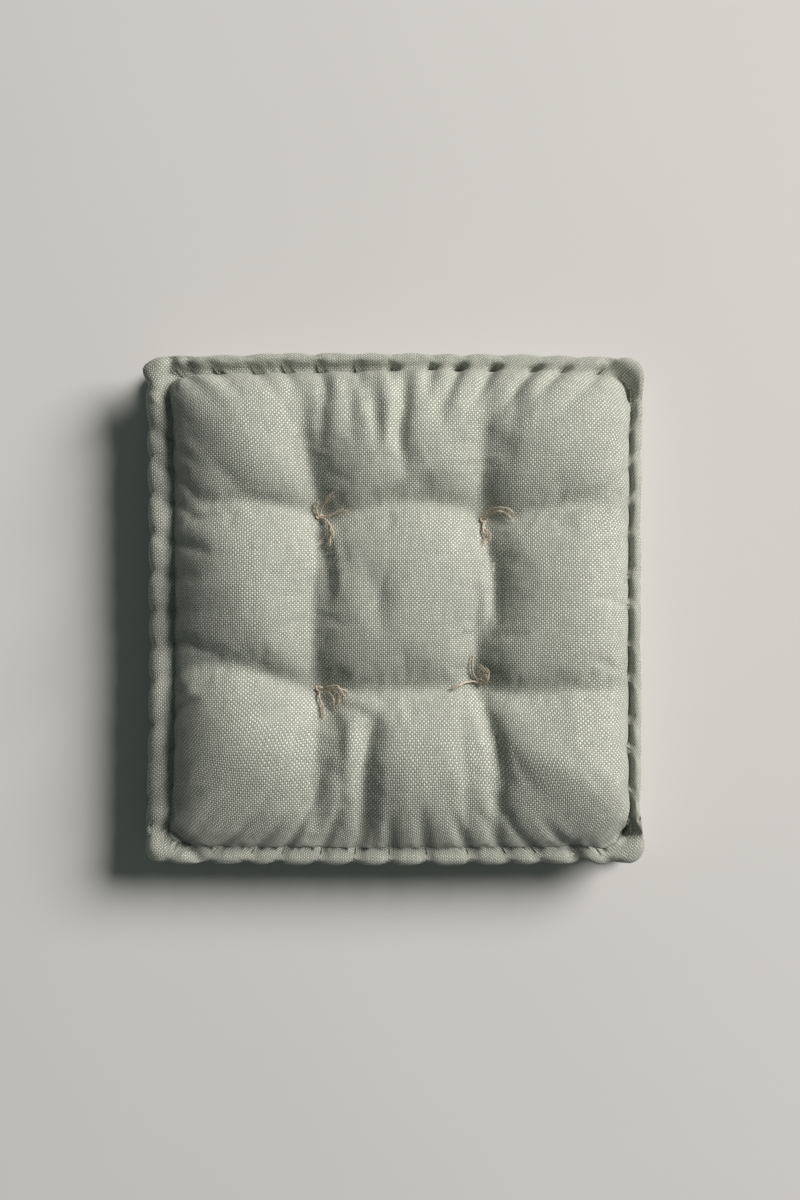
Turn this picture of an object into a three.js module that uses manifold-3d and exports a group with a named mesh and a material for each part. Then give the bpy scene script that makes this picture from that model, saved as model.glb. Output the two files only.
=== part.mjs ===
// A square tufted floor cushion made like a small French mattress. A stuffed linen cover is pulled in
// at four places by twine ties, and the upper and lower edges are stitched into firm round rolls.
// Millimetres, +Z up. The origin is the centre of the face that lies on the floor.
import * as THREE from "three";
import Module from "manifold-3d";

const wasm = await Module();
wasm.setup();

// Driving dimensions
const SIDE = 450; // over the outside of the edge rolls
const HEIGHT = 100; // floor to the top of the puffs
const ROLL_RADIUS = 9.5; // edge roll, outside its cover
const CLOTH = 1.2; // cover cloth
const GAP = 0.35; // between pieces that touch
const ROLL_LIFT = 12; // lower roll's centre above the floor
const ROLL_DROP = 38; // upper roll's centre below the top of the puffs
const CROWN_EDGE = 190; // where the crowned part of a panel ends and turns down to its roll
const CROWN_FALL = 16; // how much lower the crown is there
const NECK = 205.5; // the stitched groove between a panel and its roll, out from the centre
const DIMPLE_DEPTH = 28; // tie seat below the top of the puffs
const DIMPLE_RADIUS = 46;
const BASE_DIMPLE_DEPTH = 22; // tie seat above the floor
const BASE_DIMPLE_RADIUS = 34;
const SEAT_RADIUS = 12.2; // flat bottom of a dimple, under its knot
const CHANNEL_DEPTH = 7; // pull line from tie to tie and out to the edge
const CHANNEL_WIDTH = 17;
const TIE_RADIUS = 1.5; // doubled twine
const TIE_HOLE_RADIUS = 2;
const KNOT_RADIUS = 4.6;
const STRAND_RADIUS = 0.9;
const THREAD_RADIUS = 0.6;

// The ties are set by hand, so the grid of four is a little uneven: [across, back], from the centre.
const TIES = {
  back_left: [-66, 81],
  back_right: [81, 78],
  front_left: [-66, -73],
  front_right: [76, -66],
};
// The cut ends that splay out of each upper knot: [direction in degrees, reach].
const STRANDS = {
  back_left: [[62, 17], [40, 20], [12, 26], [-64, 16], [-84, 27]],
  back_right: [[8, 27], [-22, 25], [-66, 14], [-98, 22], [150, 12]],
  front_left: [[-2, 25], [-24, 22], [-52, 20], [-70, 24], [-94, 22]],
  front_right: [[196, 24], [98, 18], [60, 15], [22, 13], [214, 15]],
};
const BASE_STRAND_TURNS = [20, 140, 260]; // degrees
const BASE_STRAND_REACH = 11;

const HALF = SIDE / 2;
const ROLL_OUT = HALF - ROLL_RADIUS; // roll centre, out from the middle of the cushion
const UPPER_ROLL = HEIGHT - ROLL_DROP;
const LOWER_ROLL = ROLL_LIFT;
const SEAT_TOP = HEIGHT - DIMPLE_DEPTH;
const SEAT_BASE = BASE_DIMPLE_DEPTH;
const SIDES = ["right", "back", "left", "front"]; // each a quarter turn on from the one before

// Corner rounding, out from the centre: square inside the crown, then rounder towards the rolls.
const NECK_CORNER = 9;
const OUTER_CORNER = 15;
const cornerRadius = (d) =>
  d <= CROWN_EDGE
    ? 0
    : d <= NECK
      ? (NECK_CORNER * (d - CROWN_EDGE)) / (NECK - CROWN_EDGE)
      : NECK_CORNER + ((OUTER_CORNER - NECK_CORNER) * (d - NECK)) / (HALF - NECK);

// Lines of the grid along half a side, as shares of it. The last two fan round a corner.
const TIE_LINE = 0.39;
const ARC_START = 0.93;
const NEAR_TIE = [-0.13, -0.045, 0, 0.045, 0.13].map((step) => TIE_LINE + step);
const HALF_LINES = [0.15, ...NEAR_TIE, ARC_START, 1];
const LINES = [...HALF_LINES.map((u) => -u).reverse(), 0, ...HALF_LINES];
const CELLS = LINES.length - 1;
// Stations of the pieces that only run along the edges.
const STATIONS = [-1, -ARC_START, 0, ARC_START, 1];

const smooth = (q) => {
  const t = Math.min(1, Math.max(0, q));
  return t * t * (3 - 2 * t);
};

// Grid position to cushion position: the grid is pulled so that its tie lines meet at the ties.
function gridPoint(u, v) {
  const nominal = TIE_LINE * CROWN_EDGE;
  const right = smooth((u / TIE_LINE + 1) / 2);
  const back = smooth((v / TIE_LINE + 1) / 2);
  const fade = (t) => Math.min(1, (1 - Math.abs(t)) / (1 - TIE_LINE));
  const shares = {
    back_left: (1 - right) * back,
    back_right: right * back,
    front_left: (1 - right) * (1 - back),
    front_right: right * (1 - back),
  };
  const p = [u * CROWN_EDGE, v * CROWN_EDGE];
  for (const [name, share] of Object.entries(shares)) {
    const [x, y] = TIES[name];
    p[0] += share * fade(u) * fade(v) * (x - Math.sign(x) * nominal);
    p[1] += share * fade(u) * fade(v) * (y - Math.sign(y) * nominal);
  }
  return p;
}

// How far a dimple has opened: 1 on its seat, 0 outside its rim.
function dimple(x, y, radius) {
  const reach = Math.min(...Object.values(TIES).map(([a, b]) => Math.hypot(x - a, y - b)));
  return 1 - smooth((reach - SEAT_RADIUS) / (radius - SEAT_RADIUS));
}

// Height of the upper panel's outer face: a low crown, the pull lines, and the four dimples.
function crown(x, y, u, v) {
  const out = Math.max(Math.abs(x), Math.abs(y)) / CROWN_EDGE;
  const line = (t) => Math.exp(-((((Math.abs(t) - TIE_LINE) * CROWN_EDGE) / CHANNEL_WIDTH) ** 2));
  const channel = CHANNEL_DEPTH * Math.max(line(u), line(v));
  const puffs = HEIGHT - CROWN_FALL * out ** 4 - channel * (1 - out ** 6);
  const open = dimple(x, y, DIMPLE_RADIUS);
  return puffs * (1 - open) + SEAT_TOP * open;
}

// Height of the lower panel's outer face: flat on the floor but for the four dimples.
const base = (x, y) => SEAT_BASE * dimple(x, y, BASE_DIMPLE_RADIUS);

// A point on the perimeter at distance d from the centre: station t runs -1 to 1 along a side,
// and the last station at each end lies half way round a corner.
function perimeterPoint(d, t, side) {
  const r = cornerRadius(d);
  const a = Math.abs(t);
  let across = ((d - r) * Math.min(a, ARC_START)) / ARC_START;
  let out = d;
  if (r === 0) across = d * a;
  else if (a > ARC_START) {
    const turn = ((a - ARC_START) / (1 - ARC_START)) * (Math.PI / 4);
    out = d - r + r * Math.cos(turn);
    across = d - r + r * Math.sin(turn);
  }
  const angle = (side * Math.PI) / 2;
  const y = Math.sign(t) * across;
  return [out * Math.cos(angle) - y * Math.sin(angle), out * Math.sin(angle) + y * Math.cos(angle)];
}

function geometryOf(points, triangles) {
  const geometry = new THREE.BufferGeometry();
  geometry.setAttribute("position", new THREE.Float32BufferAttribute(points.flat(), 3));
  geometry.setIndex(triangles.flat());
  return geometry;
}

// A closed body over the whole square: an upper face, a profile of [distance out, height] that runs
// right round from the upper face's edge to the lower face's edge, and a lower face.
function squareBody(upper, profile, lower) {
  const points = [];
  const triangles = [];
  const quad = (a, b, c, d) => triangles.push([a, b, c], [a, c, d]);
  const face = (height) => {
    const first = points.length;
    for (const v of LINES)
      for (const u of LINES) {
        const [x, y] = gridPoint(u, v);
        points.push([x, y, height(x, y, u, v)]);
      }
    return (i, j) => first + j * (CELLS + 1) + i;
  };
  const top = face(upper);
  const bottom = face(lower);
  for (let j = 0; j < CELLS; j++)
    for (let i = 0; i < CELLS; i++) {
      quad(top(i, j), top(i + 1, j), top(i + 1, j + 1), top(i, j + 1));
      quad(bottom(i, j), bottom(i, j + 1), bottom(i + 1, j + 1), bottom(i + 1, j));
    }
  // Once round the edge of a face, anticlockwise from its front right corner.
  const rim = (at) => [
    ...LINES.slice(0, -1).map((_, k) => at(CELLS, k)),
    ...LINES.slice(0, -1).map((_, k) => at(CELLS - k, CELLS)),
    ...LINES.slice(0, -1).map((_, k) => at(0, CELLS - k)),
    ...LINES.slice(0, -1).map((_, k) => at(k, 0)),
  ];
  const rings = profile.map(([d, z]) => {
    const first = points.length;
    SIDES.forEach((_, side) =>
      LINES.slice(0, -1).forEach((t) => points.push([...perimeterPoint(d, t, side), z])),
    );
    return Array.from({ length: 4 * CELLS }, (_, k) => first + k);
  });
  const loops = [rim(top), ...rings, rim(bottom)];
  for (let n = 0; n + 1 < loops.length; n++)
    for (let k = 0; k < 4 * CELLS; k++) {
      const next = (k + 1) % (4 * CELLS);
      quad(loops[n][k], loops[n + 1][k], loops[n + 1][next], loops[n][next]);
    }
  return geometryOf(points, triangles);
}

// A closed section of [distance out, height], anticlockwise, carried along one side between mitres.
function sideBody(section, side) {
  const points = [];
  const triangles = [];
  const n = section.length;
  const last = STATIONS.length - 1;
  for (const t of STATIONS)
    for (const [d, z] of section) {
      const [x, y] = perimeterPoint(d, t, side);
      // Both ends stop short of the mitre by half a gap.
      const back = Math.abs(t) === 1 ? (-Math.sign(t) * GAP) / 2 : 0;
      const angle = (side * Math.PI) / 2;
      points.push([x - back * Math.sin(angle), y + back * Math.cos(angle), z]);
    }
  for (let k = 0; k < last; k++)
    for (let i = 0; i < n; i++) {
      const j = (i + 1) % n;
      const [a, b, c, d] = [k * n + i, k * n + j, (k + 1) * n + j, (k + 1) * n + i];
      triangles.push([a, c, b], [a, d, c]);
    }
  const outline = section.map(([d, z]) => new THREE.Vector2(d, z));
  for (const [a, b, c] of THREE.ShapeUtils.triangulateShape(outline, [])) {
    triangles.push([a, b, c]);
    triangles.push([last * n + a, last * n + c, last * n + b]);
  }
  return geometryOf(points, triangles);
}

// A closed section carried right round the perimeter, meeting itself.
function loopBody(section) {
  const points = [];
  const triangles = [];
  const n = section.length;
  SIDES.forEach((_, side) => {
    for (const t of STATIONS.slice(0, -1))
      for (const [d, z] of section) points.push([...perimeterPoint(d, t, side), z]);
  });
  const stations = 4 * (STATIONS.length - 1);
  for (let k = 0; k < stations; k++)
    for (let i = 0; i < n; i++) {
      const j = (i + 1) % n;
      const m = ((k + 1) % stations) * n;
      triangles.push([k * n + i, m + j, k * n + j], [k * n + i, m + i, m + j]);
    }
  return geometryOf(points, triangles);
}

// Points on an arc round a roll's centre, from one angle to another in degrees, ends included.
// Angle 0 points straight out of the cushion and 90 straight up.
function rollArc(height, radius, from, to, steps) {
  return Array.from({ length: steps + 1 }, (_, k) => {
    const a = THREE.MathUtils.degToRad(from + ((to - from) * k) / steps);
    return [ROLL_OUT + radius * Math.cos(a), height + radius * Math.sin(a)];
  });
}

// Manifold solids are used only to cut holes and to join strands to their knot.
function solidOf(geometry) {
  const positions = geometry.attributes.position;
  const keys = new Map();
  const merged = [];
  const place = Array.from({ length: positions.count }, (_, i) => {
    const p = [positions.getX(i), positions.getY(i), positions.getZ(i)];
    const key = p.map((v) => Math.round(v * 1e4)).join();
    if (!keys.has(key)) keys.set(key, merged.push(p) - 1);
    return keys.get(key);
  });
  const index = geometry.index ? geometry.index.array : place.keys().toArray();
  const corners = [];
  for (let i = 0; i < index.length; i += 3) {
    const [a, b, c] = [0, 1, 2].map((k) => place[index[i + k]]);
    if (a !== b && b !== c && a !== c) corners.push(a, b, c);
  }
  return new wasm.Manifold(
    new wasm.Mesh({
      numProp: 3,
      vertProperties: new Float32Array(merged.flat()),
      triVerts: new Uint32Array(corners),
    }),
  );
}

function geometryOfSolid(solid) {
  const mesh = solid.getMesh();
  const geometry = new THREE.BufferGeometry();
  geometry.setAttribute("position", new THREE.BufferAttribute(mesh.vertProperties, 3));
  geometry.setIndex(new THREE.BufferAttribute(mesh.triVerts, 1));
  return geometry;
}

// An upright rod on a tie's axis.
function rodAt([x, y], radius, low, high, sides) {
  const geometry = new THREE.CylinderGeometry(radius, radius, high - low, sides);
  geometry.rotateX(Math.PI / 2);
  geometry.translate(x, y, (low + high) / 2);
  return geometry;
}

function withTieHoles(geometry) {
  let solid = solidOf(geometry);
  for (const place of Object.values(TIES))
    solid = solid.subtract(solidOf(rodAt(place, TIE_HOLE_RADIUS, -1, HEIGHT + 1, 10)));
  return geometryOfSolid(solid);
}

// The cover. Each panel runs out over half of its roll to the seam on the roll's outside,
// and each side band covers the other half of both rolls and the wall between them.
const SEAM_HALF_ANGLE = 2; // degrees, half of the seam's gap
const NECK_ANGLE = 155; // where a panel leaves its roll, from straight out
const BAND_ANGLE = 120; // where a side band leaves its roll
const inner = ROLL_RADIUS - CLOTH;

// The upper panel's shoulder, between its crown and its roll: the outer face, then the inner one.
const CROWN_RIM = HEIGHT - CROWN_FALL;
const shoulder = [[CROWN_EDGE + 8, CROWN_RIM - 6], [CROWN_EDGE + 13.4, CROWN_RIM - 12.5]];
const shoulderInside = [[CROWN_EDGE + 12.4, CROWN_RIM - 13.3], [CROWN_EDGE + 7.1, CROWN_RIM - 7]];

function topPanel() {
  const profile = [
    ...shoulder,
    ...rollArc(UPPER_ROLL, ROLL_RADIUS, NECK_ANGLE, SEAM_HALF_ANGLE, 5),
    ...rollArc(UPPER_ROLL, inner, SEAM_HALF_ANGLE, NECK_ANGLE, 4),
    ...shoulderInside,
  ];
  return withTieHoles(squareBody(crown, profile, (x, y, u, v) => crown(x, y, u, v) - CLOTH));
}

function bottomPanel() {
  const heel = [[CROWN_EDGE + 8, 1.6], [CROWN_EDGE + 12.6, 4.4]];
  const heelInside = [[CROWN_EDGE + 7.4, 2.9], [CROWN_EDGE + 12, 5.9]];
  const profile = [
    ...heelInside,
    ...rollArc(LOWER_ROLL, inner, -NECK_ANGLE, -SEAM_HALF_ANGLE, 4),
    ...rollArc(LOWER_ROLL, ROLL_RADIUS, -SEAM_HALF_ANGLE, -NECK_ANGLE, 5),
    ...heel.reverse(),
  ];
  return withTieHoles(squareBody((x, y) => base(x, y) + CLOTH, profile, base));
}

const WALL_OUT = 215.5; // middle of the wall between the rolls, which bulges a little
const WALL_HEIGHTS = [0.12, 0.5, 0.88]; // shares of the way from the lower roll to the upper
const wall = (inset) =>
  WALL_HEIGHTS.map((s) => [
    WALL_OUT - inset - 12 * (s - 0.5) ** 2,
    LOWER_ROLL + 10 + s * (UPPER_ROLL - LOWER_ROLL - 20),
  ]);

// Where the cloth turns from a roll to the wall it makes a sharp crease: the offsets of the crease
// from the roll's centre, on the cloth's outer face and then on its inner face.
const CREASE = [-5.2, 9.6];
const CREASE_INSIDE = [[-6.3, 7.9], [-6.6, 9.8]];

function sideBand(side) {
  const crease = (height, way, offsets) => offsets.map(([d, z]) => [ROLL_OUT + d, height + way * z]);
  const section = [
    ...rollArc(LOWER_ROLL, ROLL_RADIUS, SEAM_HALF_ANGLE, BAND_ANGLE, 4),
    ...crease(LOWER_ROLL, 1, [CREASE]),
    ...wall(0),
    ...crease(UPPER_ROLL, -1, [CREASE]),
    ...rollArc(UPPER_ROLL, ROLL_RADIUS, -BAND_ANGLE, -SEAM_HALF_ANGLE, 4),
    ...rollArc(UPPER_ROLL, inner, -SEAM_HALF_ANGLE, -BAND_ANGLE, 4),
    ...crease(UPPER_ROLL, -1, CREASE_INSIDE),
    ...wall(CLOTH).reverse(),
    ...crease(LOWER_ROLL, 1, CREASE_INSIDE).reverse(),
    ...rollArc(LOWER_ROLL, inner, BAND_ANGLE, SEAM_HALF_ANGLE, 4),
  ];
  return sideBody(section, side);
}

// The stuffing: one block of cotton wadding that fills the cover up to the necks of the rolls.
function filling() {
  const clear = CLOTH + GAP;
  const profile = [
    [CROWN_EDGE + 6.2, CROWN_RIM - 8],
    [CROWN_EDGE + 11.3, CROWN_RIM - 14.4],
    [NECK - 1, UPPER_ROLL - 4],
    ...wall(clear + 1).reverse(),
    [NECK - 1, LOWER_ROLL + 4],
    [CROWN_EDGE + 10, 7.6],
  ];
  return withTieHoles(
    squareBody((x, y, u, v) => crown(x, y, u, v) - clear, profile, (x, y) => base(x, y) + clear),
  );
}

// The rope of wadding inside an edge roll, one length for each side.
const WADDING_RADIUS = 7.4;
const rollWadding = (height, side) => sideBody(rollArc(height, WADDING_RADIUS, 0, 324, 9), side);

// The waxed thread that is pulled tight round the neck of a roll.
function rollStitching(out, height) {
  const section = Array.from({ length: 6 }, (_, k) => {
    const a = (k * Math.PI) / 3;
    return [out + THREAD_RADIUS * Math.cos(a), height + THREAD_RADIUS * Math.sin(a)];
  });
  return loopBody(section);
}

// A tie: doubled twine straight through the cushion, from seat to seat.
const tie = (place) => rodAt(place, TIE_RADIUS, SEAT_BASE, SEAT_TOP, 8);

// A cut end of twine that leaves its knot along a line of points.
function strand(points) {
  const section = new THREE.Shape();
  for (let k = 0; k < 4; k++) {
    const a = (k * Math.PI) / 2;
    const p = [STRAND_RADIUS * Math.cos(a), STRAND_RADIUS * Math.sin(a)];
    if (k) section.lineTo(...p);
    else section.moveTo(...p);
  }
  section.closePath();
  const path = new THREE.CatmullRomCurve3(points.map((p) => new THREE.Vector3(...p)));
  return new THREE.ExtrudeGeometry(section, { steps: 4, bevelEnabled: false, extrudePath: path });
}

function knotWith(place, low, up, strands) {
  const outline = [[0, 0], [3, 0], [KNOT_RADIUS, 1.8], [3.4, 4], [0, 5]];
  const knot = new THREE.LatheGeometry(outline.map(([r, z]) => new THREE.Vector2(r, z)), 8);
  knot.rotateX(Math.PI / 2);
  if (up < 0) knot.rotateX(Math.PI);
  knot.translate(place[0], place[1], low);
  let solid = solidOf(knot);
  for (const points of strands) solid = solid.add(solidOf(strand(points)));
  return geometryOfSolid(solid);
}

// An upper tuft: the knot on its seat, with the cut ends splayed up the sides of the dimple.
function topTuft(name) {
  const [x, y] = TIES[name];
  const lift = 5; // over the cloth
  const strands = STRANDS[name].map(([turn, reach]) => {
    const a = THREE.MathUtils.degToRad(turn);
    const at = (s, z) => [x + s * Math.cos(a), y + s * Math.sin(a), z];
    const slope = (s) => {
      const open = dimple(...at(s, 0).slice(0, 2), DIMPLE_RADIUS);
      return HEIGHT * (1 - open) + SEAT_TOP * open + lift;
    };
    return [at(1, SEAT_TOP + 2.6), at(reach / 2, slope(reach / 2)), at(reach, slope(reach))];
  });
  return knotWith([x, y], SEAT_TOP + GAP, 1, strands);
}

// A lower tuft: the same knot with short ends, inside its dimple and clear of the floor.
function bottomTuft(name) {
  const [x, y] = TIES[name];
  const strands = BASE_STRAND_TURNS.map((turn) => {
    const a = THREE.MathUtils.degToRad(turn);
    const at = (s, drop) => [x + s * Math.cos(a), y + s * Math.sin(a), SEAT_BASE - drop];
    return [at(1, 2.6), at(BASE_STRAND_REACH / 2, 4), at(BASE_STRAND_REACH, 7)];
  });
  return knotWith([x, y], SEAT_BASE - GAP, -1, strands);
}

// Finishes
const finish = (color, roughness) =>
  new THREE.MeshStandardMaterial({ color, roughness, metalness: 0 });
const linen = finish(0xb3b3a4, 0.95);
const wadding = finish(0xe9e3d3, 1);
const twine = finish(0xd3c6ab, 0.9);
const thread = finish(0x9a9c8e, 0.85);

const cushion = new THREE.Group();
function addPiece(name, geometry, material) {
  const mesh = new THREE.Mesh(geometry, material);
  mesh.name = name;
  cushion.add(mesh);
}

addPiece("filling", filling(), wadding);
addPiece("top_panel", topPanel(), linen);
addPiece("bottom_panel", bottomPanel(), linen);
SIDES.forEach((name, side) => {
  addPiece(`side_band_${name}`, sideBand(side), linen);
  addPiece(`top_roll_wadding_${name}`, rollWadding(UPPER_ROLL, side), wadding);
  addPiece(`bottom_roll_wadding_${name}`, rollWadding(LOWER_ROLL, side), wadding);
});
addPiece("top_roll_stitching", rollStitching(NECK + 1.6, UPPER_ROLL + 5.9), thread);
addPiece("bottom_roll_stitching", rollStitching(NECK - 0.2, LOWER_ROLL - 6.4), thread);
for (const [name, place] of Object.entries(TIES)) {
  addPiece(`tie_${name}`, tie(place), twine);
  addPiece(`top_tuft_${name}`, topTuft(name), twine);
  addPiece(`bottom_tuft_${name}`, bottomTuft(name), twine);
}

export default cushion;
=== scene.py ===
"""A square tufted floor cushion, made like a small French mattress.

The linen cover is worked out as one closed grid: an upper panel with nine puffs, an upper edge roll,
a wall, a lower edge roll and a lower panel. A cloth simulation then blows it up against its ties and
stitches, and the result is cut at its seams into the pieces that a maker would sew together.
"""

import math
from collections import namedtuple

import bpy
import numpy as np
from bpy.props import FloatProperty, FloatVectorProperty, IntProperty, PointerProperty
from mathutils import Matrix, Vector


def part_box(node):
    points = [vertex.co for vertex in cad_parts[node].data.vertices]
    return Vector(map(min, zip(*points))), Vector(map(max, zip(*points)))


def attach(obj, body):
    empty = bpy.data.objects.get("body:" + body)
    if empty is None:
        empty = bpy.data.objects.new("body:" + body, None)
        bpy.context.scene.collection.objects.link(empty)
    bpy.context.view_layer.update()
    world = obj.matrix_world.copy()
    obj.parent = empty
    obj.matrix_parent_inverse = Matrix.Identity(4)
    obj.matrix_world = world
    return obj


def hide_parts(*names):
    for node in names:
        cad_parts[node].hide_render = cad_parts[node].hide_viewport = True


bl_info = {
    "name": "Tufted Floor Cushion",
    "version": (1, 0, 0),
    "blender": (4, 5, 0),
    "location": "3D View > Sidebar > Cushion",
    "description": "Builds a square mattress cushion with rolled edges and twine ties",
    "category": "Add Mesh",
}

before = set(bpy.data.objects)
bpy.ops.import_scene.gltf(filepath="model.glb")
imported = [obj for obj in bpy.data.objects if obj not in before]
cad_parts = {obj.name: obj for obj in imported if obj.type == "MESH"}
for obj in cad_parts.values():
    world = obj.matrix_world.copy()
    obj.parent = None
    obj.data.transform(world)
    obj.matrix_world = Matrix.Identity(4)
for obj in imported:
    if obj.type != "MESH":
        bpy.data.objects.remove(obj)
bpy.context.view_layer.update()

MM = 0.001
SIDES = ("right", "back", "left", "front")  # each a quarter turn on from the one before
TIES = ("back_left", "back_right", "front_left", "front_right")


def middle(node):
    """The middle of a frame node's box, as an array."""
    low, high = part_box(node)
    return (np.array(low) + np.array(high)) / 2


# Places that the frame fixes.
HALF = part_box("top_panel")[1].x
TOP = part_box("top_panel")[1].z
ROLL_OUT = middle("top_roll_wadding_right")[0]
UPPER_ROLL = middle("top_roll_wadding_right")[2]
LOWER_ROLL = middle("bottom_roll_wadding_right")[2]
ROLL_RADIUS = HALF - ROLL_OUT
STITCHING_OUT = 2.4 * MM  # how far the solid's stitching stands out of the groove's middle line
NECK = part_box("top_roll_stitching")[1].x - STITCHING_OUT
TIE_PLACES = {name: middle(f"tie_{name}")[:2] for name in TIES}
UPPER_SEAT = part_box("tie_back_left")[1].z
LOWER_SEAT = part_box("tie_back_left")[0].z


def length(name, default, description):
    """A size in metres."""
    return FloatProperty(name=name, description=description, default=default, unit="LENGTH")


def tint(name, default, description):
    """A colour, as red, green and blue from 0 to 1."""
    return FloatVectorProperty(name=name, description=description, default=default, subtype="COLOR")


class CushionShape(bpy.types.PropertyGroup):
    """Sizes of the cushion that a maker would change."""

    cell: length("Grid cell", 3 * MM, "Size of the cover's mesh cells")
    stitches: IntProperty(
        name="Stitches", description="Stitches along each edge roll, to a side", default=13
    )
    cloth: length("Cloth", 1.1 * MM, "Thickness of the linen")
    thread: length("Thread", 1.6 * MM, "From one thread of the weave to the next")
    twine: length("Twine", 1.7 * MM, "Thickness of the tie twine")
    fullness: FloatProperty(
        name="Fullness", description="Share of spare cloth in the cover", default=0.014, subtype="FACTOR"
    )
    pressure: FloatProperty(
        name="Stuffing", description="How hard the stuffing presses on the cover", default=3.0
    )


class CushionColours(bpy.types.PropertyGroup):
    """Colours of the cushion's cloth, twine and stuffing, and of the floor."""

    warp: tint("Warp", (0.66, 0.645, 0.55), "Paler thread of the linen")
    weft: tint("Weft", (0.315, 0.375, 0.33), "Darker thread of the linen")
    twine: tint("Twine", (0.62, 0.55, 0.43), "Undyed tie twine")
    stitching: tint("Stitching", (0.34, 0.35, 0.3), "Waxed thread of the rolls")
    wadding: tint("Wadding", (0.78, 0.73, 0.62), "Cotton stuffing")
    floor: tint("Floor", (0.62, 0.622, 0.6), "Plain pale floor")


# ---------------------------------------------------------------- the cover's shape


def smooth(q):
    """Smoothstep: 0 up to 0, 1 from 1, and 3q^2 - 2q^3 between."""
    q = np.clip(q, 0, 1)
    return q * q * (3 - 2 * q)


def curve_through(points, steps=14):
    """A Catmull-Rom curve through rows of numbers: each span is the cubic whose slope at a point is
    half the step between that point's neighbours."""
    p = np.array(points, float)
    p = np.vstack([2 * p[0] - p[1], p, 2 * p[-1] - p[-2]])
    q = np.linspace(0, 1, steps, endpoint=False)[:, None]
    spans = [
        0.5 * (2 * b + (c - a) * q + (2 * a - 5 * b + 4 * c - d) * q**2 + (3 * b - a - 3 * c + d) * q**3)
        for a, b, c, d in zip(p, p[1:], p[2:], p[3:])
    ]
    return np.vstack([*spans, p[-2:-1]])


# A fold is a valley in the upper panel: points of (x, y, depth) in millimetres, the distance over which
# its sides rise, and the height of the ridge beside it, on its left if positive.
Fold = namedtuple("Fold", "points reach ridge")

PULL_LINES = {
    "left": [
        (-76, 215, 4), (-80, 150, 7), (-66, 81, 10), (-71, 17, 7.5), (-71, -45, 8.5), (-66, -73, 10),
        (-68, -110, 7), (-69, -160, 5), (-69, -215, 3),
    ],
    "right": [
        (84, 215, 3), (80, 126, 7.5), (81, 78, 10), (88, 12, 7), (75, -40, 8.5), (76, -66, 10),
        (82, -100, 7.5), (90, -170, 5), (91, -215, 3),
    ],
    "back": [
        (-215, 89, 5), (-144, 94, 7), (-82, 86, 9.5), (-66, 81, 10), (-36, 83, 8.5), (11, 92, 8),
        (60, 87, 9), (81, 78, 10), (108, 80, 8.5), (166, 92, 6), (215, 88, 3),
    ],
    "front": [
        (-215, -50, 5), (-144, -51, 7.5), (-97, -64, 9), (-66, -73, 10), (-38, -73, 8.5),
        (11, -71, 8.5), (58, -70, 9), (76, -66, 10), (106, -74, 8.5), (152, -73, 7), (215, -69, 4),
    ],
}

FOLDS = [
    # the pleat in the middle of the back row, and the one left of the middle of the front row
    Fold([(10, 226, 12), (9, 178, 12), (6, 147, 8), (12, 112, 0)], 6, -4),
    Fold([(-13, -93, 0), (-21, -112, 12), (-26, -150, 13), (-27, -190, 12), (-27, -226, 11)], 10, -4),
    # beside the right line
    Fold([(80, -80, 2), (91, -112, 7), (96, -147, 7), (94, -190, 5), (94, -220, 4)], 6, -3),
    Fold([(82, 62, 4), (91, 34, 7), (92, 4, 7), (90, -20, 3), (80, -44, 0)], 6, -3.5),
    Fold([(77, 40, 0), (76, 12, 3), (74, -20, 5), (74, -50, 2)], 5, 0),
    # beside the left line, in the middle row
    Fold([(-64, 62, 4), (-58, 34, 5), (-58, 4, 2), (-60, -14, 0)], 5, 2.5),
    Fold([(0, 46, 0), (-10, 22, 2.5), (-13, -4, 2), (-15, -24, 0)], 7, 1),
    Fold([(-30, 56, 0), (-20, 24, 2), (-14, -12, 0)], 8, 1),
    # down from the back edge
    Fold([(-92, 224, 3), (-94, 176, 2.5), (-88, 130, 0)], 9, 1),
    Fold([(-60, 226, 4), (-62, 190, 4), (-64, 150, 2.5), (-62, 116, 0)], 6, 2.5),
    Fold([(-40, 226, 4), (-38, 180, 4), (-34, 130, 0)], 6, 2),
    Fold([(-20, 226, 4), (-17, 176, 3.5), (-12, 128, 0)], 6, 2),
    Fold([(40, 224, 3), (42, 180, 3), (48, 132, 0)], 8, 1.5),
    Fold([(112, 224, 3), (108, 180, 3), (102, 136, 0)], 8, 1.5),
    # in from the left edge
    Fold([(-224, 74, 5), (-190, 76, 4), (-150, 84, 0)], 6, 1.5),
    Fold([(-224, -32, 4), (-186, -34, 3.5), (-140, -44, 0)], 6, 1.5),
    # up from the front edge, and from the front left tie
    Fold([(-58, -84, 3), (-48, -112, 3), (-47, -160, 3), (-47, -224, 4)], 6, 1.5),
    Fold([(-50, -84, 2), (-24, -92, 2), (0, -98, 0)], 4.5, 1.5),
    Fold([(62, -92, 2), (62, -130, 2.5), (66, -180, 3), (66, -224, 4)], 8, 1.5),
]


SPREAD = 84 * MM  # how far from a pull line its valley reaches
NARROW = 15 * MM  # over what distance the steep sides next to a pull line rise
NARROW_SHARE = 0.22  # how much of the valley's depth those steep sides are
LINE_BOTTOM = 2.5 * MM  # half width of the rounded bottom of a pull line's valley
FOLD_BOTTOM = 1.6 * MM  # and of a fold's
RIDGE_PLACE = 1.9  # how far beside a fold its ridge lies, in reaches
VALLEY_DEPTH = 2.85  # the valley's depth for each millimetre of the pull line's weight
CROWN_RISE = 9 * MM  # how far the middle would rise over the solid's top without its valleys
TOP_FUNNEL = 10 * MM  # reach of the funnel at a tie, in the upper panel
BASE_FUNNEL = 13 * MM  # and in the lower one


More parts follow.
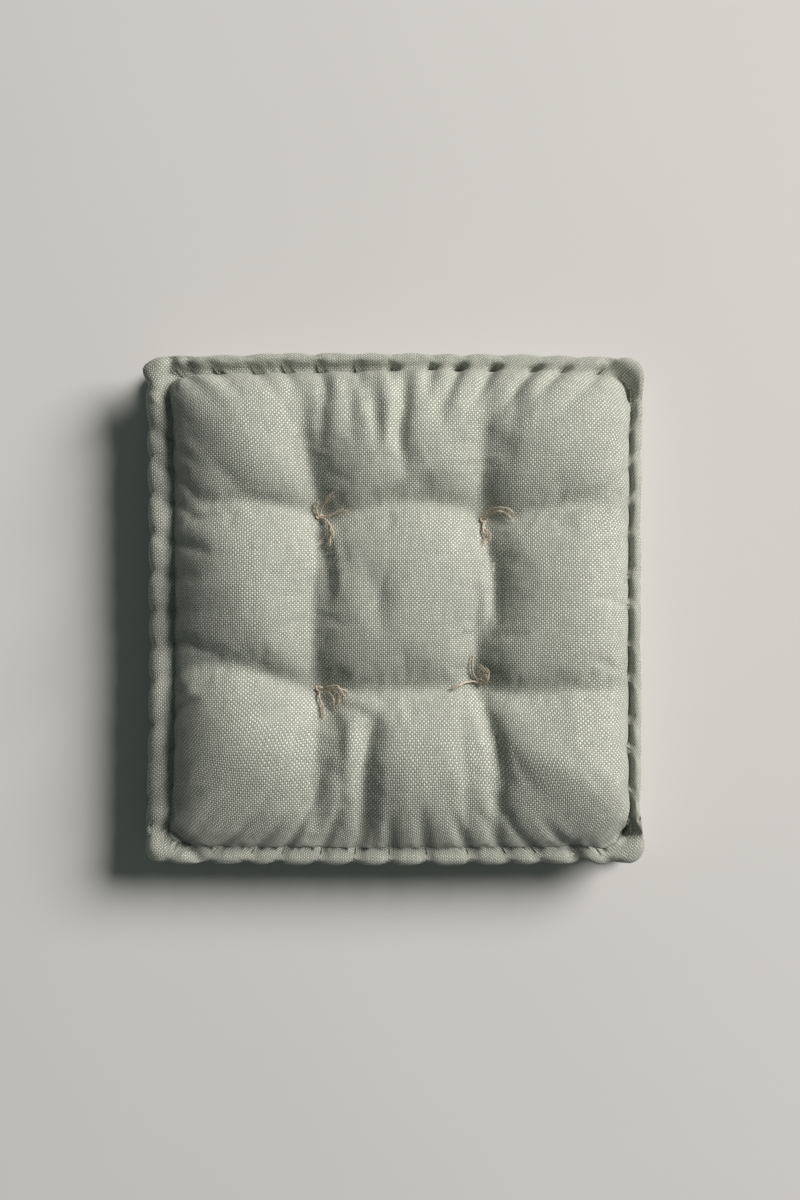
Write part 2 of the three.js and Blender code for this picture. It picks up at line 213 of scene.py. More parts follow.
def from_line(line, x, y):
    """For each point, its distance from a line, the number of the line's nearest point, and 1 if it
    lies on the line's left, -1 on its right."""
    gap_x = x.ravel()[:, None] - line[None, :, 0]
    gap_y = y.ravel()[:, None] - line[None, :, 1]
    away = gap_x**2 + gap_y**2
    near = away.argmin(1)
    row = np.arange(near.size)
    along = np.gradient(line[:, :2], axis=0)[near]
    left = np.sign(along[:, 0] * gap_y[row, near] - along[:, 1] * gap_x[row, near])
    return np.sqrt(away[row, near]), near, left


def line_valley(points, x, y):
    """Depth of a pull line's valley at each point: most of it a broad (1 - distance / SPREAD)^2, and
    the rest a narrow exp(-distance / NARROW). Its bottom is rounded over a small width."""
    line = curve_through(points) * MM
    distance, near, _ = from_line(line, x, y)
    distance = np.sqrt(distance**2 + LINE_BOTTOM**2) - LINE_BOTTOM
    broad = np.maximum(1 - distance / SPREAD, 0) ** 2
    share = (1 - NARROW_SHARE) * broad + NARROW_SHARE * np.exp(-distance / NARROW)
    return (line[near, 2] * share).reshape(x.shape)


def fold_height(fold, x, y):
    """How far a fold moves each point of the panel. Across the fold the valley is exp(-s/reach), with
    its bottom rounded over a small width, and the ridge is a bell curve beside it."""
    line = curve_through(fold.points) * MM
    reach = fold.reach * MM
    distance, near, left = from_line(line, x, y)
    depth = line[near, 2]
    valley = np.exp(-(np.sqrt(distance**2 + FOLD_BOTTOM**2) - FOLD_BOTTOM) / reach)
    side = left * distance * np.sign(fold.ridge)
    ridge = abs(fold.ridge) * MM * np.exp(-((side / reach - RIDGE_PLACE) ** 2))
    share = depth / max(line[:, 2].max(), 1e-9)
    return (ridge * share - depth * valley).reshape(x.shape)


def from_ties(x, y):
    """Distance of each point to the tie nearest to it."""
    return np.min([np.hypot(x - a, y - b) for a, b in TIE_PLACES.values()], axis=0)


def crease_share(x, y):
    """How near each point is to the bottom of a pull line or fold: the deepest of their valleys there,
    over the depth of the deepest pull line."""
    lines = [Fold(points, 5, 0) for points in PULL_LINES.values()]
    lines += [Fold(fold.points, 4, 0) for fold in FOLDS]
    deepest = 10 * MM
    return -np.min([fold_height(line, x, y) for line in lines], axis=0) / deepest


def panel_height(x, y):
    """Height of the upper panel: a low crown, less a valley along each pull line, the folds, and a
    funnel with its tip at each tie. Where two valleys cross, the depth is the cube root of the sum of
    their cubes, so that it is little more than the deeper one's."""
    out = np.maximum(np.abs(x), np.abs(y)) / NECK
    height = TOP + CROWN_RISE * (1 - out**4)
    valleys = [line_valley(points, x, y) for points in PULL_LINES.values()]
    height = height - VALLEY_DEPTH * np.cbrt((np.array(valleys) ** 3).sum(0))
    for fold in FOLDS:
        height = height + fold_height(fold, x, y)
    funnel = np.exp(-from_ties(x, y) / TOP_FUNNEL)
    return height * (1 - funnel) + UPPER_SEAT * funnel


def base_height(x, y):
    """Height of the lower panel: flat but for the funnels of its ties."""
    return LOWER_SEAT * np.exp(-((from_ties(x, y) / BASE_FUNNEL) ** 1.3))


# Rounding of each corner, from the back right one anticlockwise.
PANEL_CORNERS = np.array([30, 11, 10, 20]) * MM  # of the groove
OUTER_CORNERS = np.array([17, 17, 15, 13]) * MM  # of the rolls

# The edge's shape along each half side, from the front half of the right side anticlockwise. In
# millimetres: how far out the groove lies from its usual place, how far the panel swells out over it,
# the roll's radius, how far the roll has sunk, and how high the groove lies above the roll's middle,
# between stitches and at them. Last, the share of the roll that a stitch takes off.
NECK_SHIFT = (6, 6, 3.5, 2, -5, -5, 3, 3)
OVERHANG = (5, 5, 3, 3, 0, 0, 0, 0)
UPPER_RADIUS = (6.6, 6.6, 7.4, 6.8, 12, 12, 8, 8)
ROLL_SUNK = (3, 3, 2, 2, 15, 15, 10, 10)
GROOVE_BETWEEN = (-7, -7, 7.5, -6, 9.5, 9.5, 9.5, 9.5)
GROOVE_AT_STITCH = (4, 4, -10, -9, 7, 7, 6, 6)
PINCH = (0.15, 0.15, 0.15, 0.15, 0.2, 0.2, 0.38, 0.38)

# The panel's edge turns down on a curve of this width, in millimetres, whose height is cos(a)^BEND for
# an angle a that runs from 0 to a right angle: 1 is a quarter ellipse, and 2 is a parabola, which ends
# less steeply.
NOSE = (50, 46, 48, 54, 84, 84, 98, 94)
NOSE_BEND = (1, 1, 1, 1, 1.15, 1.15, 1.75, 1.75)
NOSE_DROP = 40 * MM  # about how far it comes down

LOWER_GROOVE = 6.5 * MM  # how far under the lower roll's middle its groove lies
LOWER_LIFT = 3.5 * MM  # and how far a stitch lifts it
POCKET = 4 * MM  # how deep the pocket at the back right corner is
PUCKER = 4.2 * MM  # depth of the pucker at a stitch
STITCH_WIDTH = 0.2  # how wide a stitch's pull on the groove is, in stitches
PINCH_WIDTH = 0.22  # and its pull on the roll and on the swell beside it


def along_edge(values, side, t):
    """Values given for the eight half sides: each holds over most of its half side, and they run
    evenly into each other over the rest."""
    knots = (np.arange(8)[:, None] / 2 + [0.07, 0.43]).ravel()
    return np.interp(side + (t + 1) / 2, knots, np.repeat(values, 2), period=4)


def corner_value(values, side, t):
    """The value of the corner that each point lies towards."""
    return values[np.where(t > 0, side, (side - 1) % 4)]


def around(out, corner, side, t):
    """Points on a square with rounded corners. out is the distance from the centre to a side, side is
    0 to 3 from the right anticlockwise, and t runs -1 to 1 along it, even in length, so that t = 1
    lies half way round the corner."""
    corner = np.maximum(corner, 1e-6)
    straight = out - corner
    run = np.abs(t) * (straight + corner * np.pi / 4)
    turn = np.clip((run - straight) / corner, 0, np.pi / 4)
    away = straight + corner * np.cos(turn)
    along = np.sign(t) * np.where(run > straight, straight + corner * np.sin(turn), run)
    angle = side * np.pi / 2
    return away * np.cos(angle) - along * np.sin(angle), away * np.sin(angle) + along * np.cos(angle)


class Stitches:
    """The hand stitches round one roll: each has a place along the edge, a strength, and the reach and
    lean of the pucker that it pulls into the panel."""

    def __init__(self, per_side, seed):
        rng = np.random.default_rng(seed)
        self.per_side = per_side
        self.count = 4 * per_side
        self.place = np.arange(self.count) + 0.5 + rng.uniform(-0.14, 0.14, self.count)
        self.strength = rng.uniform(0.65, 1.15, self.count)
        self.reach = rng.uniform(12, 36, self.count) * MM
        self.lean = rng.uniform(-1, 1, self.count) * 0.012

    def at(self, side, t):
        """Where a point lies along the edge, counted in stitches from the front right corner."""
        return (side + (t + 1) / 2) * self.per_side

    def gap(self, where, shift=0.0):
        """From each point to each stitch along the edge, the short way round."""
        gap = where[..., None] - self.place - shift
        return gap - self.count * np.round(gap / self.count)

    def dent(self, where, width):
        """Sum over the stitches of strength times exp(-(gap / width)^2)."""
        return (np.exp(-((self.gap(where) / width) ** 2)) * self.strength).sum(-1)

    def pucker(self, where, inward):
        """The same, but each stitch's bell leans, widens and fades with the distance in from the
        groove."""
        inward = inward[..., None]
        width = 0.15 + inward / (250 * MM)
        bell = np.exp(-((self.gap(where, self.lean * inward / MM) / width) ** 2))
        return (bell * np.exp(-inward / self.reach) * self.strength).sum(-1)


def panel_corner(out, side, t):
    """Rounding of a panel's grid at each corner: that of the groove at its edge, and more further in."""
    edge = corner_value(PANEL_CORNERS, side, t) * smooth(2 * out - 1)
    return edge + 0.38 * NECK * out * smooth((1 - out) / 0.35)


def spokes(cells):
    """A panel's grid as polar numbers: out from 0 to 1, and the side and place t along it that each
    point lies towards."""
    line = np.linspace(-1, 1, cells + 1)
    u, v = np.meshgrid(line, line)
    out = np.maximum(np.abs(u), np.abs(v))
    across = np.abs(u) >= np.abs(v)
    side = np.where(across, np.where(u > 0, 0, 2), np.where(v > 0, 1, 3))
    lead = np.where(across, np.where(u > 0, v, -v), np.where(v > 0, -u, u))
    return out, side, np.divide(lead, out, out=np.zeros_like(lead), where=out > 0)


def panel_points(cells, stitches, height, rise):
    """One panel before it is stuffed. Towards its edge it turns down to the groove, where it may swell
    out over the roll, and a pucker runs in from each stitch. rise is 1 for the upper panel, -1 for the
    lower."""
    out, side, t = spokes(cells)
    flat = out * NECK
    nose = along_edge(NOSE, side, t) * MM
    arc = np.pi / 2 * np.sqrt((nose**2 + NOSE_DROP**2) / 2)  # length of the edge's curve
    start = (NECK - nose) * NECK / (NECK - nose + arc)  # where it starts on the flat grid
    turn = np.clip((flat - start) / (NECK - start), 0, 1) * np.pi / 2
    where = stitches.at(side, t)
    away = np.where(turn > 0, NECK - nose * (1 - np.sin(turn)), flat * (NECK - nose) / start)
    corner = panel_corner(out, side, t)
    if rise > 0:
        away = away + along_edge(NECK_SHIFT, side, t) * MM * smooth(2 * out - 1)
    x, y = around(away, corner, side, t)
    z = height(x, y) - rise * PUCKER * stitches.pucker(where, NECK - away) * smooth(4 * out - 1)
    if rise > 0:
        swell = 1.54 * np.sin(2 * turn) * np.sin(turn) ** 2  # 1.54 makes the most of it 1
        swell *= along_edge(OVERHANG, side, t) * MM * (1 - 0.5 * stitches.dent(where, PINCH_WIDTH))
        x, y = around(away + swell, corner, side, t)
    neck = groove_height(stitches, side, t, rise)
    bend = along_edge(NOSE_BEND, side, t)
    return np.stack([x, y, neck + (z - neck) * np.cos(turn) ** bend], -1)


def groove_height(stitches, side, t, rise):
    """Height of the groove between a panel and its roll: at each stitch it differs from that between
    stitches, and the upper one has a pocket at the back right corner, and half of one at the front
    right."""
    dent = stitches.dent(stitches.at(side, t), STITCH_WIDTH)
    if rise < 0:
        return LOWER_ROLL - LOWER_GROOVE + LOWER_LIFT * dent
    pocket = corner_value(np.array([1, 0, 0, 0.5]), side, t) * smooth((np.abs(t) - 0.85) / 0.12)
    between = along_edge(GROOVE_BETWEEN, side, t)
    change = along_edge(GROOVE_AT_STITCH, side, t) - between
    lift = between + change * np.minimum(dent, 1) - along_edge(ROLL_SUNK, side, t)
    return UPPER_ROLL + lift * MM - POCKET * pocket


# The rings of the cover's edge, from ring 0 in the upper groove to the last in the lower one.
ROLL_STEPS = 13  # rings to a roll
WALL_STEPS = 10  # rings to the wall between them
UPPER_SEAM = 7  # the ring on the outside of the upper roll
UPPER_CREASE = ROLL_STEPS  # the ring where the upper roll meets the wall
LOWER_CREASE = ROLL_STEPS + WALL_STEPS + 1
LOWER_SEAM = LOWER_CREASE + ROLL_STEPS - UPPER_SEAM

# Creases across the upper roll at the corners, where one side's roll laps over the next.
CORNER_CREASES = [
    # back right: the pocket between the panel's corner and the roll, and the end of the right roll
    Fold([(186, 226, 0), (195, 219, 7), (205, 208, 11), (213, 195, 9), (216, 184, 0)], 4, 0),
    Fold([(206, 187, 2), (213, 188, 6), (222, 188, 6), (232, 189, 3)], 3.2, 0),
    # front right: the right roll turns in over the front one, with a pocket behind it
    Fold([(228, -187, 5), (217, -193, 8), (206, -203, 8), (192, -213, 6), (184, -214, 0)], 3.4, 0),
    Fold([(222, -198, 0), (216, -201, 8), (206, -204, 7), (200, -205, 0)], 4.5, 0),
    Fold([(163, -204, 0), (163, -213, 5), (162, -232, 6)], 3.4, 0),
    # front left: the end of the left roll, and the slanting end of the front one
    Fold([(-232, -196, 3), (-221, -197, 7), (-206, -199, 5)], 3.2, 0),
    Fold([(-207, -196, 3), (-200, -202, 6), (-190, -210, 7), (-172, -230, 6)], 3.4, 0),
    # back left: the left roll runs on to the back, over the end of the back one
    Fold([(-203, 199, 3), (-201, 208, 7), (-200, 218, 6), (-198, 232, 2)], 3.4, 0),
    Fold([(-186, 212, 3), (-185, 218, 6), (-184, 232, 3)], 3.2, 0),
]

# Soft swellings and hollows of the rolls: a middle (x, y, z), a reach, and a push (x, y, z).
Lump = namedtuple("Lump", "middle reach push")
CORNER_LUMPS = [
    Lump((214, 206, 66), 13, (3, 3, -1)),
    Lump((190, -222, 60), 11, (0, -3.5, 0)),
    Lump((222, -208, 60), 10, (3, -2, 0)),
    Lump((-214, -206, 62), 11, (-2, -2, 1)),
    Lump((-222, 214, 58), 9, (-4, 1.5, 0)),
    Lump((-205, 220, 66), 12, (0, 2.5, 2)),
    Lump((222, 176, 62), 10, (2, 0, 1)),
]


def shape_corners(points, panel, rings):
    """Presses the creases into the upper panel and the inner part of its roll, and pushes the lumps
    out. A crease fades over the last rings before the roll's outside, and a lump's push falls off as
    exp(-(distance / reach)^2)."""
    share = smooth((UPPER_SEAM - np.arange(1, UPPER_SEAM)) / 3)[:, None]
    for rows, weight in ((panel, 1), (rings[1:UPPER_SEAM], share)):
        x, y = points[rows, 0], points[rows, 1]
        for crease in CORNER_CREASES:
            points[rows, 2] += fold_height(crease, x, y) * weight
    for lump in CORNER_LUMPS:
        away = np.linalg.norm(points - np.array(lump.middle) * MM, axis=1)
        points += np.exp(-((away / (lump.reach * MM)) ** 2))[:, None] * np.array(lump.push) * MM


WAIST = (1.5, -4.5, 3.5, -2.5)  # how far each side curves in at its middle, in millimetres
FRONT_SLACK = 5.5 * MM  # how far the whole front edge lies further out


def waisted(points):
    """The points with each side drawn in by WAIST times 1 - s^2, where s runs -1 to 1 along it, and
    the front half moved out by up to FRONT_SLACK."""
    x, y = points[..., 0] / HALF, points[..., 1] / HALF
    moved = points.copy()
    moved[..., 0] -= MM * (WAIST[0] * smooth(x) - WAIST[2] * smooth(-x)) * np.maximum(1 - y * y, 0)
    moved[..., 1] -= MM * (WAIST[1] * smooth(y) - WAIST[3] * smooth(-y)) * np.maximum(1 - x * x, 0)
    moved[..., 1] -= FRONT_SLACK * smooth(-y)
    return moved


NECK_ANGLE = math.radians(146)  # where the cloth meets a roll, round the roll from straight out
LEAVE_ANGLE = math.radians(60)  # where the roll's circle starts to run into the groove
CREASE_ANGLE = math.radians(-128)  # where the cloth leaves the roll for the wall
NECK_PULL = 0.7  # how far the roll's inner side is drawn to the groove's height
ROLL_FULL = 1.04  # how large the roll is between stitches, over its radius
WALL_BULGE = 7 * MM  # how far the wall stands out between the rolls


def groove_share(angle):
    """0 on the outer part of a roll, rising to 1 at the groove."""
    return smooth((angle - LEAVE_ANGLE) / (NECK_ANGLE - LEAVE_ANGLE))


def bend_at(angle, side, t):
    """Rounding of the corner at an angle round a roll: that of the groove, then that of the rolls."""
    outer = corner_value(OUTER_CORNERS, side, t)
    return outer + (corner_value(PANEL_CORNERS, side, t) - outer) * groove_share(angle)


def ring_places(cells):
    """The side that each station of a ring is on, and its place t along it."""
    side, step = np.divmod(np.arange(4 * cells), cells)
    return side, step * 2 / cells - 1


def edge_points(cells, upper, lower):
    """The cover between the two panels' grooves, as rings: over the upper roll on a circle that each
    stitch pinches, down the wall, and round the lower roll."""
    side, t = ring_places(cells)
    outer = corner_value(OUTER_CORNERS, side, t)
    angles = np.linspace(NECK_ANGLE, CREASE_ANGLE, ROLL_STEPS + 1)[1:]
    rings = []
    creases = []
    for stitches, rise in ((upper, 1), (lower, -1)):
        size = along_edge(UPPER_RADIUS, side, t) * MM if rise > 0 else np.full(t.shape, ROLL_RADIUS)
        roll = UPPER_ROLL - along_edge(ROLL_SUNK, side, t) * MM if rise > 0 else LOWER_ROLL
        pinch = along_edge(PINCH, side, t) * stitches.dent(stitches.at(side, t), PINCH_WIDTH)
        radius = size * (ROLL_FULL - pinch)
        neck = groove_height(stitches, side, t, rise)
        for angle in angles:
            x, y = around(HALF - size + radius * np.cos(angle), bend_at(angle, side, t), side, t)
            z = roll + rise * radius * np.sin(angle)
            z = z + (neck - z) * NECK_PULL * groove_share(angle) ** 3
            rings.append(np.stack([x, y, z], -1))
        crease_out = HALF + size * (np.cos(CREASE_ANGLE) - 1)
        creases.append((crease_out, roll + rise * size * np.sin(CREASE_ANGLE)))
    (out_high, high), (out_low, low) = creases
    wall = []
    for share in np.linspace(0, 1, WALL_STEPS + 2)[1:-1]:
        out = out_high + (out_low - out_high) * share + WALL_BULGE * math.sin(math.pi * share) ** 0.7
        x, y = around(out, outer, side, t)
        wall.append(np.stack([x, y, high + (low - high) * share], -1))
    return np.array([*rings[:ROLL_STEPS], *wall, *reversed(rings[ROLL_STEPS:])])


# ---------------------------------------------------------------- meshes


def new_piece(name, points, faces, uv=None, smooth_faces=True):
    """A mesh object from points and faces, with a UV for each face's corner if given."""
    mesh = bpy.data.meshes.new(name)
    mesh.from_pydata(np.asarray(points).reshape(-1, 3), [], faces)
    if uv is not None:
        layer = mesh.uv_layers.new(name="Cloth")
        layer.data.foreach_set("uv", np.asarray(uv, np.float32).ravel())
    mesh.polygons.foreach_set("use_smooth", np.full(len(mesh.polygons), smooth_faces))
    mesh.update()
    piece = bpy.data.objects.new(name, mesh)
    bpy.context.scene.collection.objects.link(piece)
    return piece


def coordinates(piece):
    """The points of a piece's mesh with its modifiers, as an array."""
    evaluated = piece.evaluated_get(bpy.context.evaluated_depsgraph_get())
    mesh = evaluated.to_mesh()
    points = np.empty(len(mesh.vertices) * 3)
    mesh.vertices.foreach_get("co", points)
    evaluated.to_mesh_clear()
    return points.reshape(-1, 3)


def rim(grid):
    """The edge of a panel's grid, once round anticlockwise from its front right corner."""
    return np.concatenate([grid[:-1, -1], grid[-1, :0:-1], grid[:0:-1, 0], grid[0, :-1]])


# The order of a cell's four corners, which start at its lower left in a panel's grid. A strip's rings
# are numbered from the uppermost down, and a tube's from its start.
FACE_UP = (0, 1, 2, 3)
FACE_DOWN = (3, 2, 1, 0)
FACE_OUT = (0, 3, 2, 1)
FACE_OUT_FLIPPED = (1, 2, 3, 0)


def cells_of(grid, order):
    """The four corners of each cell of a grid of point numbers or UVs."""
    corners = np.stack([grid[:-1, :-1], grid[:-1, 1:], grid[1:, 1:], grid[1:, :-1]], 2)
    return corners[:, :, list(order)].reshape(-1, 4, *grid.shape[2:])


def closed(rows):
    """Rings with their first station repeated at the end."""
    return np.concatenate([rows, rows[:, :1]], 1)


def used(points, faces):
    """Only the points that the faces use, and the faces in their numbers."""
    kept, inverse = np.unique(faces, return_inverse=True)
    return points[kept], inverse.reshape(faces.shape)


def normals_of(points, faces):
    """Unit normal at each point: the sum of the normals of its faces, each as large as its face."""
    a, b, c, d = (points[faces[:, k]] for k in range(4))
    face_normals = np.cross(c - a, d - b)
    total = np.zeros_like(points)
    for k in range(4):
        np.add.at(total, faces[:, k], face_normals)
    return total / np.maximum(np.linalg.norm(total, axis=1, keepdims=True), 1e-12)


SETTLE_FRAMES = 20  # how long the cover fills
SETTLE_MOST = 11 * MM  # no point of it moves further than this


def settle(points, faces, held, pressure, fullness):
    """Blows the cover up: a cloth simulation with pressure inside, some spare cloth, and the points at
    ties and stitches held. Returns the points."""
    piece = new_piece("settling_cover", points, faces)
    group = piece.vertex_groups.new(name="held")
    levels = np.round(np.clip(held, 0, 1) * 10).astype(int)
    for level in range(1, 11):
        group.add(np.flatnonzero(levels == level).tolist(), level / 10, "REPLACE")
    cloth = piece.modifiers.new("Cloth", "CLOTH")
    settings = cloth.settings
    settings.quality = 5
    settings.mass = 0.25
    settings.tension_stiffness = 15
    settings.compression_stiffness = 15
    settings.shear_stiffness = 4
    settings.bending_stiffness = 0.12
    settings.air_damping = 2
    settings.use_pressure = True
    settings.uniform_pressure_force = pressure
    settings.shrink_min = -fullness
    settings.vertex_group_mass = "held"
    settings.effector_weights.gravity = 0
    cloth.collision_settings.use_collision = False
    for number in range(1, SETTLE_FRAMES + 1):
        bpy.context.scene.frame_set(number)
    moved = coordinates(piece) - points
    bpy.data.objects.remove(piece)
    bpy.context.scene.frame_set(1)
    distance = np.linalg.norm(moved, axis=1, keepdims=True)
    return points + moved * np.minimum(1, SETTLE_MOST / np.maximum(distance, 1e-9))


TUCK = 3 * MM  # how far the seam allowance turns in
TUCK_GAP = 0.35 * MM  # how far its edge lies from the seam's middle
SEAM_DIP = 0.7 * MM  # how far a seam lies below the cloth on each side of it
CORNER_DIP = 0.49 * MM  # and the seam between two side bands, both across and back

TIE_HELD = 5 * MM  # how far round a tie the cover is held wholly while it fills
CREASE_HOLD = 0.7  # how firmly it is held in the creases, from 0 to 1
GROOVE_HOLD = 0.5  # and along the grooves between stitches
FLOOR_HOLD = 0.3  # and over the floor


def cover_faces(top, rings, base):
    """The faces of a closed cover: its upper panel, the rings round its edge, and its lower panel."""
    strip = cells_of(closed(rings), FACE_OUT)
    return np.vstack([cells_of(top, FACE_UP), strip, cells_of(base, FACE_DOWN)])


class Cover:
    """The cover's grid once it is stuffed: its points, and the numbers of those points by panel, ring
    and station. The other pieces are measured from it."""

    def __init__(self, shape):
        self.cells = 2 * round(NECK / shape.cell)
        self.upper = Stitches(shape.stitches, seed=4)
        self.lower = Stitches(shape.stitches, seed=9)
        top = panel_points(self.cells, self.upper, panel_height, 1)
        base = panel_points(self.cells, self.lower, base_height, -1)
        rings = edge_points(self.cells, self.upper, self.lower)
        count = (self.cells + 1) ** 2
        self.top = np.arange(count).reshape(top.shape[:2])
        self.base = self.top + count
        inner = np.arange(rings.shape[0] * rings.shape[1]).reshape(rings.shape[:2]) + 2 * count
        self.rings = np.vstack([[rim(self.top)], inner, [rim(self.base)]])
        self.points = waisted(np.vstack([part.reshape(-1, 3) for part in (top, base, rings)]))
        self.faces = cover_faces(self.top, self.rings, self.base)
        self.points = settle(self.points, self.faces, self.held(), shape.pressure, shape.fullness)
        shape_corners(self.points, self.top, self.rings)
        self.points[:, 2] = resting(self.points[:, 2])
        self.sink_seams()

    def held(self):
        """How firmly each point is held while the cover fills: wholly at ties and stitches, and a
        little along the grooves and over the floor."""
        hold = np.zeros(len(self.points))
        tie = from_ties(self.points[:, 0], self.points[:, 1])
        panel = self.points[self.top]
        crease = crease_share(panel[..., 0], panel[..., 1])
        hold[self.top] = np.where(tie[self.top] < TIE_HELD, 1, CREASE_HOLD * smooth(1.5 * crease))
        hold[self.base] = np.where(tie[self.base] < TIE_HELD, 1, FLOOR_HOLD)
        side, t = ring_places(self.cells)
        for stitches, rows in (
            (self.upper, (0, 1, UPPER_CREASE, UPPER_CREASE + 1)),
            (self.lower, (LOWER_CREASE - 1, LOWER_CREASE, -2, -1)),
        ):
            dent = stitches.dent(stitches.at(side, t), STITCH_WIDTH)
            for row in rows:
                hold[self.rings[row]] = np.where(dent > 0.5, 1, GROOVE_HOLD)
        return hold

    def sink_seams(self):
        """Moves the seams in: those of the rolls toward the roll's core, and those between the side
        bands toward the middle of the cushion."""
        for seam, first in ((UPPER_SEAM, 1), (LOWER_SEAM, LOWER_CREASE)):
            core = self.points[self.rings[first : first + ROLL_STEPS]].mean(0)
            row = self.rings[seam]
            self.points[row] += toward(self.points[row], core) * SEAM_DIP
        corner_rows = self.rings[UPPER_SEAM + 1 : LOWER_SEAM, :: self.cells]
        inward = -np.sign(self.points[corner_rows]) * [1, 1, 0]
        self.points[corner_rows] += inward * CORNER_DIP

    def side_stations(self, side):
        """The stations of one side, with the first of the next side at the end."""
        return (side * self.cells + np.arange(self.cells + 1)) % (4 * self.cells)

    def height_at(self, x, y):
        """Height of the upper panel at the grid point nearest to a place."""
        panel = self.points[self.top.ravel()]
        return panel[np.argmin(np.hypot(panel[:, 0] - x, panel[:, 1] - y)), 2]


def toward(points, targets):
    """Unit vectors from points to targets."""
    way = targets - points
    return way / np.linalg.norm(way, axis=-1, keepdims=True)


def resting(z):
    """Nothing is below the floor: half of z + sqrt(z^2 + s^2), with s a little under a millimetre."""
    soft = 0.8 * MM
    lifted = (z + np.sqrt(z * z + soft * soft)) / 2
    return lifted - lifted.min()


def seam_allowance(points, cover, seam, first, stations, up):
    """The points with a row added that the cloth's edge turns in to, from a seam toward the core of its
    roll, and the numbers of that row. up is 1 or -1, the side of the seam that it lies on."""
    core = cover.points[cover.rings[first : first + ROLL_STEPS, stations]].mean(0)
    edge = cover.points[cover.rings[seam, stations]]
    tuck = edge + toward(edge, core) * TUCK
    tuck[:, 2] += up * TUCK_GAP
    return np.vstack([points, tuck]), [len(points) + np.arange(len(tuck))]


def run_down(points, rows):
    """Mean distance down the cloth from the first row of points to each row."""
    steps = np.linalg.norm(np.diff(points[rows], axis=0), axis=2).mean(1)
    return np.concatenate([[0], np.cumsum(steps)])[:, None]


def panel_piece(cover, name, upper):
    """A sewn panel: its grid, its half of the edge roll, and the seam allowance turned in. The UV is
    the flat cloth in metres, so that the threads run on from the panel over its rolls."""
    grid, rings, first, seam = cover.base, cover.rings[::-1], LOWER_CREASE, LOWER_SEAM
    if upper:
        grid, rings, first, seam = cover.top, cover.rings, 1, UPPER_SEAM
    stations = np.arange(4 * cover.cells)
    points, tuck = seam_allowance(cover.points, cover, seam, first, stations, 1 if upper else -1)
    rows = np.vstack([rings[: UPPER_SEAM + 1], tuck])
    out, side, t = spokes(cover.cells)
    flat = np.stack(around(out * NECK, panel_corner(out, side, t), side, t), -1)
    order = FACE_UP if upper else FACE_DOWN
    faces = [cells_of(grid, order)]
    uv = [cells_of(flat, order)]
    away = NECK + run_down(points, rows)
    angles = np.linspace(NECK_ANGLE, CREASE_ANGLE, ROLL_STEPS + 1)[: len(rows), None]
    t = np.linspace(-1, 1, cover.cells + 1)[None]
    order = FACE_OUT if upper else FACE_OUT_FLIPPED
    for side in range(4):
        sides = np.full(t.shape, side)
        strip = np.stack(around(away, bend_at(angles, sides, t), sides, t), -1)
        faces.append(cells_of(rows[:, cover.side_stations(side)], order))
        uv.append(cells_of(strip, order))
    kept, faces = used(points, np.vstack(faces))
    return new_piece(name, kept, faces, np.vstack(uv))


def band_piece(cover, name, side):
    """A sewn side band: half of each roll and the wall between, with both seam allowances turned in.
    The UV is the distance along the side and down the cover, in metres."""
    stations = cover.side_stations(side)
    points, above = seam_allowance(cover.points, cover, UPPER_SEAM, 1, stations, -1)
    points, below = seam_allowance(points, cover, LOWER_SEAM, LOWER_CREASE, stations, 1)
    rows = np.vstack([above, cover.rings[UPPER_SEAM : LOWER_SEAM + 1, stations], below])
    along = np.linspace(-HALF, HALF, len(stations))[None]
    flat = np.stack(np.broadcast_arrays(along, -run_down(points, rows)), -1)
    kept, faces = used(points, cells_of(rows, FACE_OUT))
    return new_piece(name, kept, faces, cells_of(flat, FACE_OUT))


def add_thickness(piece, thickness):
    """Gives a sheet of cloth its thickness, inwards."""
    solid = piece.modifiers.new("Cloth thickness", "SOLIDIFY")
    solid.thickness = thickness
    solid.offset = -1
    solid.use_even_offset = False


# ---------------------------------------------------------------- twine and thread


def tube(line, radius, sides):
    """A closed tube along a line of points. Its section is a ring square to the line, turned as little
    as it can be from one point to the next, with radius given at each point."""
    line = np.asarray(line, float)
    radius = np.broadcast_to(radius, len(line))[:, None, None]
    ahead = np.gradient(line, axis=0)
    ahead /= np.linalg.norm(ahead, axis=1, keepdims=True)
    start = np.cross(ahead[0], (0, 0, 1) if abs(ahead[0, 2]) < 0.9 else (1, 0, 0))
    across = start - ahead * (ahead @ start)[:, None]
    across /= np.linalg.norm(across, axis=1, keepdims=True)
    other = np.cross(ahead, across)
    turn = np.arange(sides) * 2 * np.pi / sides
    ring = np.cos(turn)[None, :, None] * across[:, None] + np.sin(turn)[None, :, None] * other[:, None]
    return section_body(line[:, None] + radius * ring)


def section_body(sections):
    """The points and faces of a closed body through sections, each a row of points round it, with a
    fan from its middle over each end."""
    count, size = sections.shape[:2]
    points = np.vstack([sections.reshape(-1, 3), sections[0].mean(0), sections[-1].mean(0)])
    rows = closed(np.arange(count * size).reshape(count, size))
    ends = [[count * size, rows[0, k + 1], rows[0, k]] for k in range(size)]
    ends += [[count * size + 1, rows[-1, k], rows[-1, k + 1]] for k in range(size)]
    return points, [*cells_of(rows, FACE_UP).tolist(), *ends]


def joined(parts):
    """Several pairs of points and faces as one pair."""
    points, faces, count = [], [], 0
    for part_points, part_faces in parts:
        points.append(part_points)
        faces += [[index + count for index in face] for face in part_faces]
        count += len(part_points)
    return np.vstack(points), faces


def even(line, count):
    """A line drawn again with points at even distances."""
    steps = np.linalg.norm(np.diff(line, axis=0), axis=1)
    run = np.concatenate([[0], np.cumsum(steps)])
    at = np.linspace(0, run[-1], count)
    return np.stack([np.interp(at, run, line[:, k]) for k in range(3)], -1)


